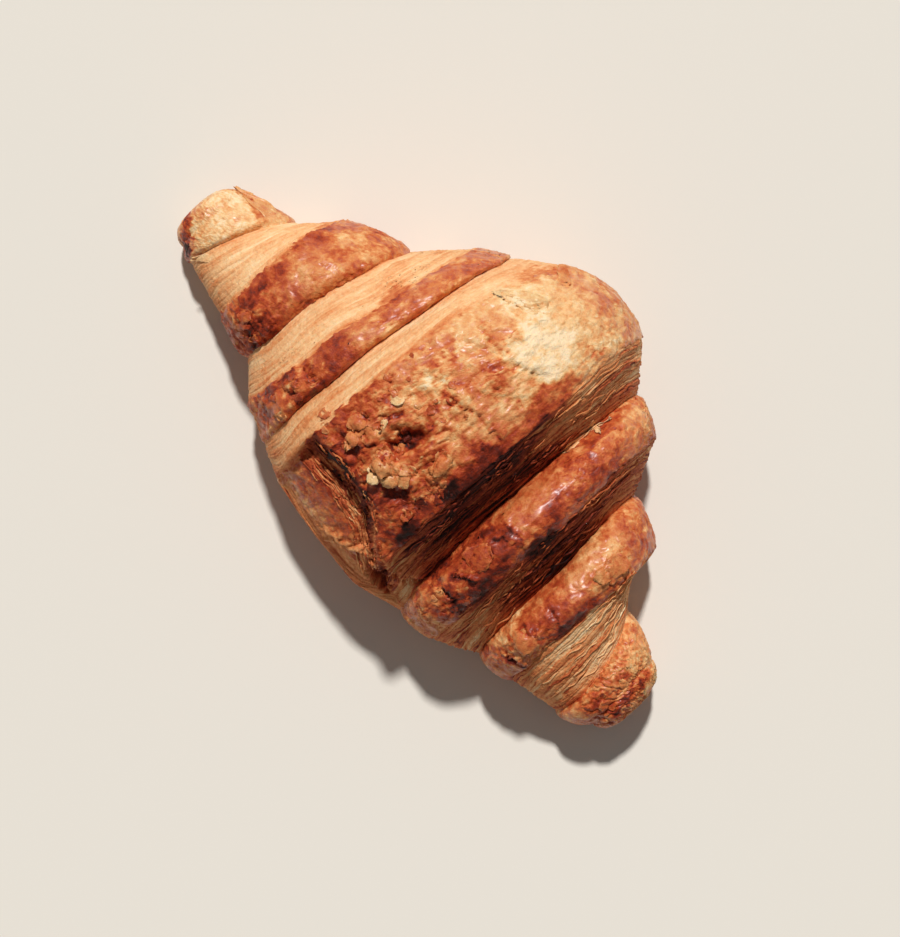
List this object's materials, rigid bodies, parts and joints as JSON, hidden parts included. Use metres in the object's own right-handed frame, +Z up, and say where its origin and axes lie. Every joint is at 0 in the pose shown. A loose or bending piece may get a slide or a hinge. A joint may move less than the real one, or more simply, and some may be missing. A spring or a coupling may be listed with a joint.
{
  "type": "croissant",
  "caption": "Baked croissant: a rolled crescent of laminated dough, widest in the middle and stepping down turn by turn to two blunt tips, with a flat underside.",
  "frame": {"origin": "on the surface it rests on, under the middle of its bounding box", "axes": "+X from the left tip to the right tip, +Y towards the bulging side, +Z up"},
  "size_m": [0.15, 0.0864, 0.0531],
  "materials": {
    "baked_crust": "baked pastry crust, half gloss on top where it was glazed with egg, dry and pale where the layers show"
  },
  "bodies": {
    "root": {"croissant": "baked_crust"}
  },
  "joints": []
}
